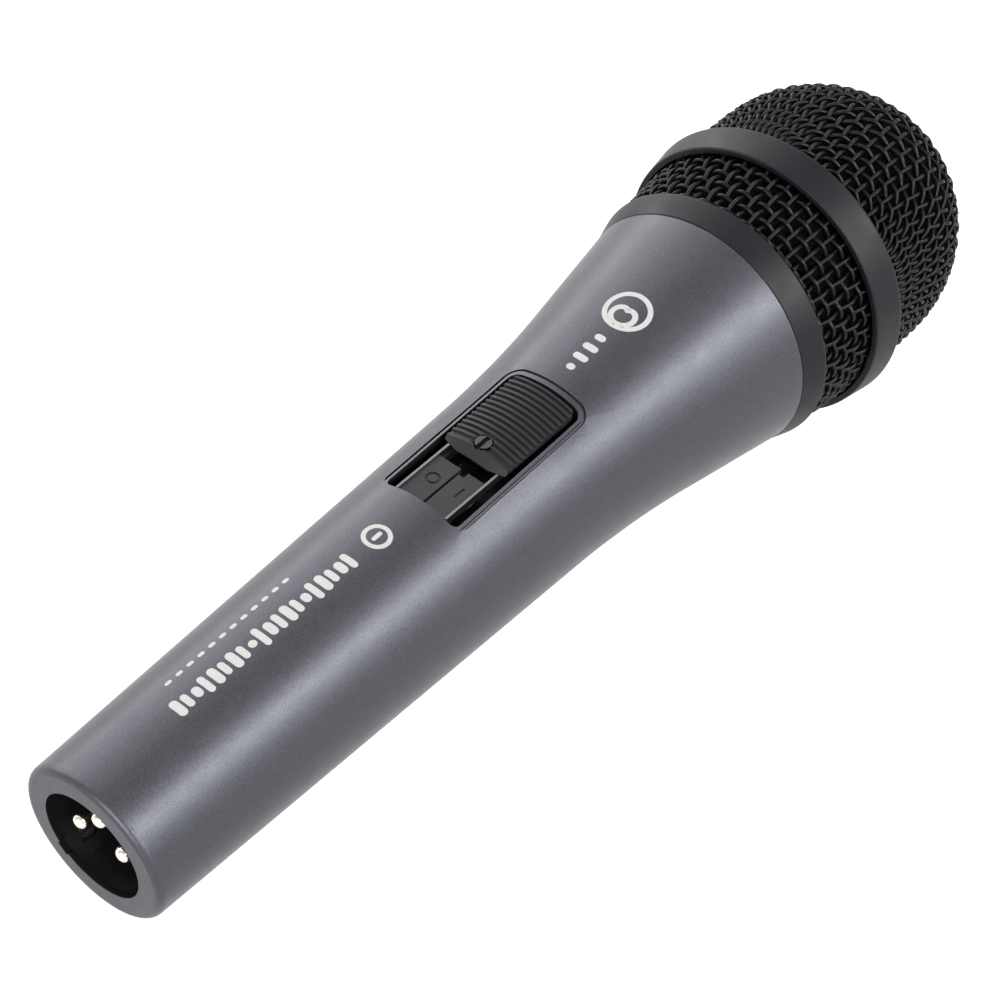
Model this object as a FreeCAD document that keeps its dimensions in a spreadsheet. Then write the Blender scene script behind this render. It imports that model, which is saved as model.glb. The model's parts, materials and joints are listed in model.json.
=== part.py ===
import FreeCAD, Part
import math
import os
import re

import Sketcher

# Handheld dynamic vocal microphone with a slide switch, in millimetres.
# The X axis is the microphone's own axis: X = 0 is the flat tail face with the three-pin
# socket, and +X points at the dome of the grille. +Z goes through the slide switch.

os.makedirs("parts", exist_ok=True)
doc = FreeCAD.newDocument("Microphone")
sheet = doc.addObject("Spreadsheet::Sheet", "Dims")

DIMENSIONS = [
    # handle, outside: a slow taper that flares towards the head
    ("grip_radius", 11.8, "outer radius at the tail"),
    ("grip_slope", 0.0328, "radius gained per mm along the grip"),
    ("flare_start", 92.7, "where the grip's line meets the flare's line"),
    ("flare_blend", 179.0, "radius of the blend between those two lines"),
    ("handle_front", 124.0, "front end of the handle shell"),
    ("flare_radius", 20.1, "outer radius at the front end"),
    ("tail_round", 1.1, "rounding of the tail's outer edge"),
    # handle, inside
    ("mouth_radius", 8.0, "radius of the plug socket"),
    ("mouth_round", 0.15, "rounding of the mouth's edge"),
    ("lip_depth", 0.9, "thickness of the handle's lip round the mouth"),
    ("liner_bore", 8.2, "bore of the socket liner"),
    ("liner_radius", 9.3, "outer radius of the socket liner"),
    ("socket_floor", 19.0, "front face of the pin insert"),
    ("insert_back", 25.0, "rear face of the pin insert"),
    ("cavity_back", 30.0, "where the handle's cavity reaches full width"),
    ("cavity_radius", 11.0, "cavity radius there"),
    ("bay_back", 55.0, "tail end of the switch bay"),
    ("bay_radius", 11.9, "cavity radius at the bay's tail end"),
    ("bay_front", 90.0, "head end of the switch bay"),
    ("bay_front_radius", 12.6, "cavity radius at the bay's head end"),
    ("ring_seat", 118.0, "where the threaded ring's seat starts"),
    ("ring_radius", 17.4, "outer radius of the threaded ring in its seat"),
    ("cavity_head_radius", 15.9, "cavity radius behind that seat"),
    # pins of the plug socket
    ("pin_circle", 3.75, "radius of the pins' circle"),
    ("pin_radius", 1.2, "radius of a pin where a plug grips it"),
    ("pin_collar", 1.4, "radius of its collar inside the insert"),
    ("cup_radius", 1.3, "outer radius of its solder cup"),
    ("pin_tip", 1.0, "how far the pins' tips lie inside the mouth"),
    ("pin_back", 30.0, "end of the solder cups"),
    ("notch_angle", -136.2, "turn about the axis, from the switch, of the mouth's notch"),
    ("key_angle", -150.0, "the same turn for the socket's key"),
    # switch recess and slider
    ("recess_back", 60.9, "tail edge of the recess"),
    ("recess_front", 88.0, "head edge of the recess"),
    ("recess_half", 6.2, "half width of the recess"),
    ("recess_corner", 1.5, "corner radius at the head edge"),
    ("recess_tail_corner", 1.0, "corner radius at the tail edge"),
    ("groove_back", 61.0, "tail end of the groove round the recess"),
    ("groove_front", 89.2, "head end of that groove"),
    ("groove_half", 7.1, "half width over that groove"),
    ("groove_corner", 2.4, "its outer corner radius"),
    ("groove_tail_corner", 1.6, "its outer corner radius at the tail"),
    ("groove_width", 0.5, "its width"),
    ("groove_depth", 0.35, "its depth under the handle's surface"),
    ("floor_top", 12.55, "height of the floor plate"),
    ("floor_thick", 0.8, "thickness of the floor plate"),
    ("floor_half", 4.1, "half width of the floor plate"),
    ("floor_front", 69.7, "head edge of the floor plate"),
    ("floor_gap", 0.3, "gap between the recess's tail edge and the floor plate"),
    ("lane_half", 0.2, "half width of the floor's lane for the carriage's stem"),
    ("mark_depth", 0.2, "depth of the ring and bar marks"),
    ("rail_outer", 4.45, "outer side of a rail"),
    ("rail_base", 11.5, "underside of the rails"),
    ("rail_top", 12.85, "top of the rails"),
    ("rail_front", 87.8, "head end of the rails"),
    ("slider_back", 71.6, "tail end of the slider"),
    ("slider_front", 87.4, "head end of the slider"),
    ("slider_half", 5.35, "half width of the slider"),
    ("slider_base", 12.9, "underside of the slider"),
    ("slider_proud", 0.45, "crown of the ribs over the handle's own surface"),
    ("rib_pitch", 1.0, "distance between ribs"),
    ("rib_depth", 0.38, "depth of the grooves between ribs"),
    ("lock_place", 74.0, "place of the lock screw along the axis"),
    ("lock_radius", 1.2, "radius of the lock screw's head"),
    ("lock_bottom", 13.05, "floor of the lock screw's seat"),
    ("lock_shelf", 13.9, "floor of its slot and of the ring sunk round its head"),
    ("lock_top", 14.6, "top of the lock screw's head"),
    ("lock_rim", 0.22, "width of the ring sunk round that head"),
    ("lock_slot_half", 0.36, "half width of the screwdriver slot"),
    ("clearance", 0.05, "running clearance between parts that slide"),
    ("stem_half", 0.15, "half thickness of the carriage's stem"),
    ("stem_back", 76.0, "tail edge of that stem"),
    ("stem_front", 84.0, "head edge of that stem"),
    ("carriage_back", 74.0, "tail face of the carriage"),
    ("carriage_front", 86.0, "head face of the carriage"),
    ("carriage_half", 3.5, "half width of the carriage"),
    ("carriage_base", 9.2, "underside of the carriage"),
    ("carriage_top", 11.5, "top of the carriage"),
    ("board_bottom", 7.2, "underside of the circuit board"),
    ("board_top", 8.8, "top of the circuit board"),
    ("board_back", 56.8, "tail edge of the circuit board"),
    ("board_front", 96.0, "head edge of the circuit board"),
    ("board_half", 6.5, "half width of the circuit board"),
    ("tray_top", 10.2, "top of the tray's frame"),
    ("tray_back", 57.5, "tail edge of the tray"),
    ("tray_front", 91.8, "head edge of the tray"),
    ("tray_half", 5.6, "half width of the tray"),
    ("leaf_back", 62.3, "tail end of the detent spring"),
    # grille basket
    ("collar_back", 124.15, "tail face of the collar, just clear of the handle"),
    ("collar_front", 128.65, "head face of the collar"),
    ("collar_radius", 21.5, "outer radius of the collar at its head face"),
    ("thread_radius", 18.2, "radius over the handle's thread"),
    ("lower_radius", 21.0, "outer radius of the lower mesh at the collar"),
    ("lower_front_radius", 22.25, "outer radius of the lower mesh inside the band"),
    ("mesh_thick", 1.0, "thickness over the woven wires"),
    ("band_back", 139.1, "tail edge of the band"),
    ("band_rib", 141.6, "tail face of the rib inside the band"),
    ("band_front", 144.9, "head edge of the band"),
    ("band_radius", 24.06, "radius of the band's outer corner before rounding"),
    ("band_back_radius", 23.2, "radius at the band's tail edge"),
    ("dome_radius", 22.5, "outer radius of the dome mesh"),
    ("dome_tip", 179.0, "tip of the dome"),
    ("tip_flat", 0.05, "radius of the flat spot where a dome's line meets the axis"),
    # capsule
    ("housing_back", 122.0, "rear face of the capsule's housing"),
    ("housing_radius", 13.5, "outer radius of the housing"),
    ("housing_bore", 11.0, "bore of the housing"),
    ("surround_seat", 141.1, "step that the diaphragm's rim rests on"),
    ("rim_radius", 12.5, "radius of the diaphragm's rim"),
    ("housing_front", 146.0, "front end of the housing"),
    ("cover_front", 148.4, "front face of the capsule's cover"),
    ("cover_radius", 14.4, "outer radius of the cover"),
    ("coil_inner", 8.2, "inner radius of the voice coil"),
    ("coil_outer", 8.8, "outer radius of the voice coil"),
    ("coil_front", 141.2, "front end of the voice coil"),
    ("foil", 0.2, "thickness of the diaphragm's foil"),
]
for row, (alias, size, note) in enumerate(DIMENSIONS, start=1):
    sheet.set(f"A{row}", note)
    sheet.set(f"B{row}", str(size))
    sheet.setAlias(f"B{row}", alias)
doc.recompute()

ALIASES = {alias for alias, size, note in DIMENSIONS}
X_AXIS = FreeCAD.Vector(1, 0, 0)
Y_AXIS = FreeCAD.Vector(0, 1, 0)
nodes = []


def formula(text):
    """The sheet expression for a text that names dimensions by their aliases."""

    def qualified(match):
        word = match.group()
        return f"Dims.{word}" if word in ALIASES else word

    return re.sub(r"[a-z][a-z_]*", qualified, str(text))


def value(text):
    """What such a text comes to, in mm."""
    return float(sheet.evalExpression(formula(text)))


def bind(item, prop, text):
    item.setExpression(prop, formula(text))


def keep(item, label):
    """Give an object its node name and list it as a finished piece."""
    item.Label = label
    nodes.append((label, item))
    return item


def turned_about_axis(item, angle_text):
    """Turn an object about the microphone's axis."""
    item.Placement = FreeCAD.Placement(
        FreeCAD.Vector(0, 0, 0), FreeCAD.Rotation(X_AXIS, value(angle_text))
    )


# --- sketches ------------------------------------------------------------------------------


def place_point(sketch, geometry, point, across, up):
    """Fix a sketch point at the place that two sheet formulas give."""
    for kind, text in (("DistanceX", across), ("DistanceY", up)):
        constraint = Sketcher.Constraint(kind, -1, 1, geometry, point, value(text))
        index = sketch.addConstraint(constraint)
        sketch.setExpression(f"Constraints[{index}]", formula(text))


def outline(sketch, corners):
    """Draw a closed outline: (across, up) corners, or (across, up, radius) for a rounded one."""
    count = len(corners)
    places = [FreeCAD.Vector(value(c[0]), value(c[1]), 0) for c in corners]
    starts = list(places)
    ends = list(places)
    arcs = {}
    for i, corner in enumerate(corners):
        if len(corner) < 3:
            continue
        back = (places[i - 1] - places[i]).normalize()
        ahead = (places[(i + 1) % count] - places[i]).normalize()
        half = back.getAngle(ahead) / 2
        radius = value(corner[2])
        reach = radius / math.tan(half)
        ends[i] = places[i] + back * reach
        starts[i] = places[i] + ahead * reach
        centre = places[i] + (back + ahead).normalize() * (radius / math.sin(half))
        left_turn = back.cross(ahead).z < 0
        arcs[i] = (centre, radius, left_turn)
    first = sketch.GeometryCount
    for i in range(count):
        line = Part.LineSegment(starts[i], ends[(i + 1) % count])
        sketch.addGeometry(line, False)
    for i, corner in enumerate(corners):
        before = first + (i - 1) % count
        after = first + i
        if i not in arcs:
            sketch.addConstraint(Sketcher.Constraint("Coincident", before, 2, after, 1))
            place_point(sketch, after, 1, corner[0], corner[1])
            continue
        centre, radius, left_turn = arcs[i]
        low, high = (ends[i], starts[i]) if left_turn else (starts[i], ends[i])
        angles = [math.atan2(p.y - centre.y, p.x - centre.x) for p in (low, high)]
        circle = Part.Circle(centre, FreeCAD.Vector(0, 0, 1), radius)
        arc = sketch.addGeometry(Part.ArcOfCircle(circle, angles[0], angles[1]), False)
        mark = sketch.addGeometry(Part.Point(places[i]), True)
        near, far = (1, 2) if left_turn else (2, 1)
        place_point(sketch, mark, 1, corner[0], corner[1])
        sketch.addConstraint(Sketcher.Constraint("PointOnObject", mark, 1, before))
        sketch.addConstraint(Sketcher.Constraint("PointOnObject", mark, 1, after))
        sketch.addConstraint(Sketcher.Constraint("Tangent", before, 2, arc, near))
        sketch.addConstraint(Sketcher.Constraint("Tangent", arc, far, after, 1))
        index = sketch.addConstraint(Sketcher.Constraint("Radius", arc, radius))
        sketch.setExpression(f"Constraints[{index}]", formula(corner[2]))


def circle(sketch, across, up, radius):
    """Draw a circle."""
    centre = FreeCAD.Vector(value(across), value(up), 0)
    shape = Part.Circle(centre, FreeCAD.Vector(0, 0, 1), value(radius))
    index = sketch.addGeometry(shape, False)
    place_point(sketch, index, 3, across, up)
    size = sketch.addConstraint(Sketcher.Constraint("Radius", index, value(radius)))
    sketch.setExpression(f"Constraints[{size}]", formula(radius))


def new_sketch(body, plane_role, height=None):
    """A sketch on one of a body's own planes, raised along that plane's normal if asked."""
    sketch = body.newObject("Sketcher::SketchObject", body.Name + "_sketch")
    plane = [f for f in body.Origin.OriginFeatures if f.Role == plane_role][0]
    sketch.AttachmentSupport = [(plane, "")]
    sketch.MapMode = "FlatFace"
    if height is not None:
        bind(sketch, "AttachmentOffset.Base.z", height)
    return sketch


# --- solids --------------------------------------------------------------------------------


def lathe(name, corners, half_angle=None):
    """A body turned about the axis from (along, radius) corners; a slice about +Z if asked."""
    body = doc.addObject("PartDesign::Body", name)
    sketch = new_sketch(body, "XY_Plane" if half_angle is None else "XZ_Plane")
    outline(sketch, corners)
    turn = body.newObject("PartDesign::Revolution", name + "_turn")
    turn.Profile = sketch
    turn.ReferenceAxis = (sketch, ["H_Axis"])
    turn.Angle = 360 if half_angle is None else 2 * half_angle
    turn.Midplane = half_angle is not None
    return body


def plate(name, low, high, corners, holes=()):
    """A body padded from height low to high, with circular holes (x, y, radius)."""
    body = doc.addObject("PartDesign::Body", name)
    sketch = new_sketch(body, "XY_Plane", low)
    outline(sketch, corners)
    for hole in holes:
        circle(sketch, *hole)
    pad = body.newObject("PartDesign::Pad", name + "_pad")
    pad.Profile = sketch
    bind(pad, "Length", f"({high}) - ({low})")
    return body


def rectangle(x_low, x_high, y_low, y_high):
    return [(x_low, y_low), (x_high, y_low), (x_high, y_high), (x_low, y_high)]


def box(name, x_range, y_range, z_range):
    """A block between two places on each axis."""
    block = doc.addObject("Part::Box", name)
    for size, axis, (low, high) in zip(
        ("Length", "Width", "Height"), "xyz", (x_range, y_range, z_range)
    ):
        bind(block, size, f"({high}) - ({low})")
        bind(block, f"Placement.Base.{axis}", low)
    return block


def rod(name, x_range, radius, y_place="0", z_place="0"):
    """A cylinder along the axis."""
    cylinder = doc.addObject("Part::Cylinder", name)
    cylinder.Placement = FreeCAD.Placement(
        FreeCAD.Vector(0, 0, 0), FreeCAD.Rotation(Y_AXIS, 90)
    )
    bind(cylinder, "Radius", radius)
    bind(cylinder, "Height", f"({x_range[1]}) - ({x_range[0]})")
    bind(cylinder, "Placement.Base.x", x_range[0])
    bind(cylinder, "Placement.Base.y", y_place)
    bind(cylinder, "Placement.Base.z", z_place)
    return cylinder


def post(name, x_place, y_place, z_range, radius):
    """A cylinder along Z."""
    cylinder = doc.addObject("Part::Cylinder", name)
    bind(cylinder, "Radius", radius)
    bind(cylinder, "Height", f"({z_range[1]}) - ({z_range[0]})")
    bind(cylinder, "Placement.Base.x", x_place)
    bind(cylinder, "Placement.Base.y", y_place)
    bind(cylinder, "Placement.Base.z", z_range[0])
    return cylinder


def fuse(name, items):
    joined = doc.addObject("Part::MultiFuse", name)
    joined.Shapes = items
    return joined


def cut(name, base, tools):
    """A base with one tool, or several joined tools, taken away."""
    result = doc.addObject("Part::Cut", name)
    result.Base = base
    result.Tool = tools[0] if len(tools) == 1 else fuse(name + "_tools", tools)
    return result


def group(name, items):
    """Separate solids that share one node."""
    compound = doc.addObject("Part::Compound", name)
    compound.Links = items
    return compound


# --- handle shell --------------------------------------------------------------------------

FLARE_CORNER_RADIUS = "grip_radius + grip_slope * flare_start"


def handle_outside(inset):
    """The handle's outer line, from the tail to the head, at a depth under the surface."""
    return [
        ("0", f"grip_radius - {inset}", "tail_round"),
        ("flare_start", f"{FLARE_CORNER_RADIUS} - {inset}", "flare_blend"),
        ("handle_front", f"flare_radius - {inset}"),
    ]


def build_handle_shell():
    """Die-cast tapered tube with the socket mouth, the recess and the groove round it."""
    tube = lathe(
        "shell_tube",
        [("0", "mouth_radius", "mouth_round")]
        + handle_outside("0")
        + [
            ("handle_front", "ring_radius"),
            ("ring_seat", "ring_radius"),
            ("ring_seat", "cavity_head_radius"),
            ("bay_front", "bay_front_radius"),
            ("bay_back", "bay_radius"),
            ("cavity_back", "cavity_radius"),
            ("insert_back", "liner_radius"),
            ("lip_depth", "liner_radius"),
            ("lip_depth", "mouth_radius"),
        ],
    )
    recess = plate(
        "recess_tool",
        "8",
        "18",
        [
            ("recess_back", "-recess_half", "recess_tail_corner"),
            ("recess_front", "-recess_half", "recess_corner"),
            ("recess_front", "recess_half", "recess_corner"),
            ("recess_back", "recess_half", "recess_tail_corner"),
        ],
    )
    groove_outer = plate(
        "groove_outer",
        "8",
        "18",
        [
            ("groove_back", "-groove_half", "groove_tail_corner"),
            ("groove_front", "-groove_half", "groove_corner"),
            ("groove_front", "groove_half", "groove_corner"),
            ("groove_back", "groove_half", "groove_tail_corner"),
        ],
    )
    inner_half = "(groove_half - groove_width)"
    groove_inner = plate(
        "groove_inner",
        "7",
        "19",
        [
            ("groove_back - 2", f"-{inner_half}"),
            ("groove_front - groove_width", f"-{inner_half}", "groove_corner - groove_width"),
            ("groove_front - groove_width", inner_half, "groove_corner - groove_width"),
            ("groove_back - 2", inner_half),
        ],
    )
    core = lathe(
        "groove_core",
        [("0", "0")] + handle_outside("groove_depth") + [("handle_front", "0")],
    )
    groove = cut("groove_tool", groove_outer, [groove_inner, core])
    notch_block = box(
        "notch_block", ("-1", "lip_depth + 2"), ("-1", "1"), ("6", "mouth_radius + 0.7")
    )
    notch = group("notch_tool", [notch_block])
    turned_about_axis(notch, "notch_angle")
    keep(cut("handle_shell_cut", tube, [recess, groove, notch]), "handle_shell")


# --- plug socket ---------------------------------------------------------------------------

PIN_PLACES = {
    "contact_pin_1": ("pin_circle", "0"),
    "contact_pin_2": ("-pin_circle", "0"),
    "contact_pin_3": ("0", "pin_circle"),
}


def build_socket():
    """Liner, insulating insert, its screw, three contact pins and the ground clip."""
    sleeve = lathe(
        "liner_sleeve",
        [
            ("lip_depth", "liner_bore"),
            ("lip_depth", "liner_radius"),
            ("socket_floor", "liner_radius"),
            ("socket_floor", "liner_bore"),
        ],
    )
    key_block = box(
        "key_block", ("2.4", "14"), ("-0.85", "0.85"), ("mouth_radius - 0.8", "liner_bore + 0.4")
    )
    key = group("key_turned", [key_block])
    turned_about_axis(key, "key_angle")
    screw_hole = post("screw_hole", "3.9", "0", ("7", "9.6"), "1.1")
    hole = group("screw_hole_turned", [screw_hole])
    turned_about_axis(hole, "notch_angle")
    keep(cut("liner_cut", fuse("liner_solid", [sleeve, key]), [hole]), "socket_liner")

    screw_body = post("insert_screw_body", "3.9", "0", ("liner_bore", "9.25"), "1.1")
    screw_slot = box("insert_screw_slot", ("2", "6"), ("-0.2", "0.2"), ("8", "8.6"))
    screw = group("insert_screw_turned", [cut("insert_screw_cut", screw_body, [screw_slot])])
    turned_about_axis(screw, "notch_angle")
    keep(screw, "insert_screw")

    disc = lathe(
        "insert_disc",
        [
            ("socket_floor", "0"),
            ("socket_floor", "6.2"),
            ("socket_floor + 0.6", "6.5"),
            ("socket_floor + 0.6", "7.4"),
            ("socket_floor", "7.6"),
            ("socket_floor", "liner_radius"),
            ("insert_back", "liner_radius"),
            ("insert_back", "0"),
        ],
    )
    holes = []
    for name, (y_place, z_place) in PIN_PLACES.items():
        span = ("socket_floor - 1", "insert_back + 1")
        holes.append(rod(name + "_hole", span, "pin_collar", y_place, z_place))
    keep(cut("insert_cut", disc, holes), "pin_insert")

    for name, (y_place, z_place) in PIN_PLACES.items():
        pin = lathe(
            name + "_body",
            [
                ("pin_tip", "0"),
                ("pin_tip", "pin_radius", "0.9"),
                ("socket_floor", "pin_radius"),
                ("socket_floor", "pin_collar"),
                ("insert_back", "pin_collar"),
                ("insert_back", "cup_radius"),
                ("pin_back", "cup_radius"),
                ("pin_back", "0.8"),
                ("pin_back - 2.5", "0.8"),
                ("pin_back - 2.5", "0"),
            ],
        )
        bind(pin, "Placement.Base.y", y_place)
        bind(pin, "Placement.Base.z", z_place)
        keep(pin, name)

    washer = box("clip_plate", ("insert_back", "insert_back + 0.4"), ("2.2", "9.1"), ("-1.8", "1.8"))
    tab = box("clip_tab", ("insert_back", "insert_back + 2.6"), ("8.8", "9.2"), ("-1.2", "1.2"))
    eye = rod("clip_eye", ("insert_back - 1", "insert_back + 1"), "cup_radius", "pin_circle")
    keep(cut("clip_cut", fuse("clip_solid", [washer, tab]), [eye]), "ground_clip")


# --- switch --------------------------------------------------------------------------------

RIB_COUNT = 14
SCREW_PLACES = ("59.4", "90.2")


def crown(place):
    """Height of the handle's own surface line over the recess, along the grip's taper."""
    return f"grip_radius + grip_slope * ({place}) + slider_proud"


def build_slider():
    """Ribbed thumb piece whose crown follows the handle, with a seat for the lock screw."""
    corners = [
        ("slider_back", "slider_base - 3"),
        ("slider_back", "slider_base + 0.25"),
        ("slider_back + 1.3", crown("slider_back + 1.3"), "0.3"),
    ]
    for rib in range(RIB_COUNT):
        start = f"slider_back + 1.75 + {rib} * rib_pitch"
        for step, sunk in ((0.0, True), (0.4, True), (0.55, False), (0.85, False)):
            place = f"{start} + {step}"
            depth = " - rib_depth" if sunk else ""
            corners.append((place, crown(place) + depth))
    corners += [
        ("slider_front - 0.15", crown("slider_front") + " - rib_depth"),
        ("slider_front", crown("slider_front") + " - rib_depth - 0.3"),
        ("slider_front", "slider_base - 3"),
    ]
    ribbed = lathe("slider_crown", corners, half_angle=30)
    plan = plate(
        "slider_plan",
        "slider_base",
        "slider_base + 4",
        [
            ("slider_back", "-slider_half", "0.8"),
            ("slider_front", "-slider_half", "recess_corner - 0.5"),
            ("slider_front", "slider_half", "recess_corner - 0.5"),
            ("slider_back", "slider_half", "0.8"),
        ],
    )
    blank = doc.addObject("Part::Common", "slider_blank")
    blank.Base = ribbed
    blank.Tool = plan
    seats = [
        post("lock_seat", "lock_place", "0", ("lock_bottom", "17"), "lock_radius + clearance"),
        post("lock_ring", "lock_place", "0", ("lock_shelf", "17"), "lock_radius + lock_rim"),
    ]
    keep(cut("slider_cut", blank, seats), "switch_slider")

    head = post(
        "lock_head", "lock_place", "0", ("lock_bottom + clearance", "lock_top"), "lock_radius"
    )
    slot = box(
        "lock_slot",
        ("lock_place - 2", "lock_place + 2"),
        ("-lock_slot_half", "lock_slot_half"),
        ("lock_shelf", "lock_top + 1"),
    )
    keep(cut("lock_cut", head, [slot]), "lock_screw")


def build_carriage():
    """Block under the floor that the slider drives, with its bridging contact."""
    block = box(
        "carriage_block",
        ("carriage_back", "carriage_front"),
        ("-carriage_half", "carriage_half"),
        ("carriage_base", "carriage_top"),
    )
    stem = box(
        "carriage_stem",
        ("stem_back", "stem_front"),
        ("-stem_half", "stem_half"),
        ("carriage_top", "slider_base"),
    )
    solid = fuse("carriage_solid", [block, stem])
    dimples = []
    for place in ("74.8", "85.2"):
        dimples.append(post(f"dimple_{place[:2]}", place, "3.9", ("10.9", "11.6"), "0.7"))
    keep(cut("carriage_cut", solid, dimples), "slider_carriage")

    strip = box("bridge_strip", ("stem_back", "stem_front"), ("-2.6", "2.6"), ("9", "carriage_base"))
    gap_span = ("stem_back + 0.8", "stem_front - 0.8")
    gap = box("bridge_gap", gap_span, ("-0.6", "0.6"), ("8.5", "carriage_base"))
    keep(cut("bridge_cut", strip, [gap]), "contact_bridge")


def build_floor():
    """Floor plate in the open end of the recess, and the two rails beside it."""
    floor_low = "floor_top - floor_thick"
    slab = plate(
        "floor_slab",
        floor_low,
        "floor_top",
        rectangle("recess_back + floor_gap", "floor_front", "-floor_half", "floor_half"),
    )
    lane_sides = ("-lane_half", "lane_half")
    lane = box("floor_lane", ("62", "72"), lane_sides, ("11", "13"))
    lane_end = box("floor_lane_end", ("60", "63"), lane_sides, ("floor_top - 0.4", "13"))
    mouth = box("floor_mouth", ("floor_front - 1", "floor_front + 1"), ("-1.1", "0.1"), ("11", "13"))
    sunk = ("floor_top - mark_depth", "13")
    ring_place = ("65.9", "1.95")
    ring_outer = post("ring_outer", *ring_place, sunk, "1.1")
    ring_inner = post("ring_inner", *ring_place, ("11", "14"), "0.7")
    ring = cut("ring_mark", ring_outer, [ring_inner])
    bar = box("bar_mark", ("65.2", "67.2"), ("-2.7", "-2.3"), sunk)
    keep(cut("floor_cut", slab, [lane, lane_end, mouth, ring, bar]), "floor_plate")

    span = ("recess_back + floor_gap", "rail_front")
    height = ("rail_base", "rail_top")
    rails = [
        box("rail_left", span, ("floor_half", "rail_outer"), height),
        box("rail_right", span, ("-rail_outer", "-floor_half"), height),
    ]
    keep(group("rail_pair", rails), "switch_rails")


def build_switch_bay():
    """Tray, circuit board, contact pads, screws and the detent spring under the slider."""
    frame = plate(
        "tray_frame",
        "board_top",
        "tray_top",
        rectangle("tray_back", "tray_front", "-tray_half", "tray_half"),
        [(place, "0", "1") for place in SCREW_PLACES],
    )
    window = box("tray_window", ("63", "87.5"), ("-3.8", "3.8"), ("8", "11"))
    tail_block = box(
        "tray_tail",
        ("recess_back + floor_gap", "leaf_back"),
        ("-floor_half", "floor_half"),
        ("tray_top", "floor_top - floor_thick"),
    )
    head_block = box(
        "tray_head",
        ("rail_front", "rail_front + 1.1"),
        ("-rail_outer", "rail_outer"),
        ("tray_top", "rail_base + 0.1"),
    )
    solid = fuse("tray_solid", [frame, tail_block, head_block])
    keep(cut("tray_cut", solid, [window]), "switch_tray")

    board = plate(
        "board_plate",
        "board_bottom",
        "board_top",
        [
            ("board_back", "-board_half", "1"),
            ("board_front", "-board_half", "1"),
            ("board_front", "board_half", "1"),
            ("board_back", "board_half", "1"),
        ],
        [(place, "0", "1") for place in SCREW_PLACES],
    )
    keep(board, "circuit_board")

    pads = []
    for number, low in enumerate(("64.5", "70.2", "76", "81.7")):
        for side, edge in (("left", "-2.6"), ("right", "1")):
            span = (low, f"{low} + 4.2")
            across = (edge, f"{edge} + 1.6")
            pads.append(box(f"pad_{side}_{number}", span, across, ("board_top", "board_top + 0.1")))
    keep(group("pads", pads), "contact_pads")

    screws = []
    for number, place in enumerate(SCREW_PLACES):
        shank = post(f"board_shank_{number}", place, "0", ("board_bottom", "tray_top"), "1")
        head = post(f"board_head_{number}", place, "0", ("6.2", "board_bottom"), "1.9")
        depth = ("6", "6.7")
        cross = [
            box(f"cross_x_{number}", (f"{place} - 1.1", f"{place} + 1.1"), ("-0.2", "0.2"), depth),
            box(f"cross_y_{number}", (f"{place} - 0.2", f"{place} + 0.2"), ("-1.1", "1.1"), depth),
        ]
        screws.append(cut(f"board_screw_{number}", fuse(f"screw_{number}", [shank, head]), cross))
    keep(group("board_screw_pair", screws), "board_screws")

    leaf = plate(
        "detent_leaf",
        "10.95",
        "11.45",
        [
            ("leaf_back", "4"),
            ("73.5", "4"),
            ("74.8", "3.55", "0.4"),
            ("76.1", "4"),
            ("rail_front", "4"),
            ("rail_front", "4.2"),
            ("76", "4.2"),
            ("74.8", "3.75", "0.6"),
            ("73.6", "4.2"),
            ("leaf_back", "4.2"),
        ],
    )
    keep(leaf, "detent_spring")


# --- grille basket -------------------------------------------------------------------------


def build_basket():
    """Collar, lower mesh, band, dome mesh and the foam inside them."""
    collar = lathe(
        "collar_body",
        [
            ("collar_back", "thread_radius + clearance"),
            ("collar_back", "flare_radius", "0.25"),
            ("collar_front", "collar_radius", "0.5"),
            ("collar_front", "lower_radius - mesh_thick - 0.05"),
            ("collar_front + 1.5", "lower_radius - mesh_thick"),
            ("collar_front + 1.5", "thread_radius + clearance"),
        ],
    )
    keep(collar, "basket_collar")
    lower = lathe(
        "lower_mesh_body",
        [
            ("collar_front", "lower_radius"),
            ("band_rib", "lower_front_radius"),
            ("band_rib", "lower_front_radius - mesh_thick"),
            ("collar_front", "lower_radius - mesh_thick"),
        ],
    )
    keep(lower, "lower_mesh")
    band = lathe(
        "band_body",
        [
            ("band_back", "lower_front_radius + 0.1"),
            ("band_back", "band_back_radius", "0.3"),
            ("band_front - 0.5", "band_radius", "0.6"),
            ("band_front", "band_radius - 0.9", "0.3"),
            ("band_front", "dome_radius"),
            ("band_rib + 0.8", "dome_radius"),
            ("band_rib + 0.8", "dome_radius - mesh_thick"),
            ("band_rib", "dome_radius - mesh_thick"),
            ("band_rib", "lower_front_radius + 0.1"),
        ],
    )
    keep(band, "basket_band")
    dome = lathe(
        "dome_mesh_body",
        [
            ("band_rib + 0.8", "dome_radius"),
            ("dome_tip", "dome_radius", "dome_radius - tip_flat"),
            ("dome_tip", "0"),
            ("dome_tip - mesh_thick", "0"),
            (
                "dome_tip - mesh_thick",
                "dome_radius - mesh_thick",
                "dome_radius - mesh_thick - tip_flat",
            ),
            ("band_rib + 0.8", "dome_radius - mesh_thick"),
        ],
    )
    keep(dome, "dome_mesh")
    foam_radius = "dome_radius - mesh_thick - 0.2"
    foam = lathe(
        "foam_body",
        [
            ("collar_front + 1.7", "lower_radius - mesh_thick - 0.2"),
            ("band_rib - 0.2", "lower_front_radius - mesh_thick - 0.3"),
            ("band_rib + 0.8", foam_radius),
            ("dome_tip - mesh_thick - 0.2", foam_radius, f"{foam_radius} - tip_flat"),
            ("dome_tip - mesh_thick - 0.2", "0"),
            ("cover_front + 4", "0"),
            ("cover_front + 4", "cover_radius + 1.8", "3"),
            ("collar_front + 1.7", "cover_radius + 1.8"),
        ],
    )
    keep(foam, "foam_windscreen")


# --- capsule -------------------------------------------------------------------------------

COVER_SLOTS = 8
THREAD_TURNS = 4


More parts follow.
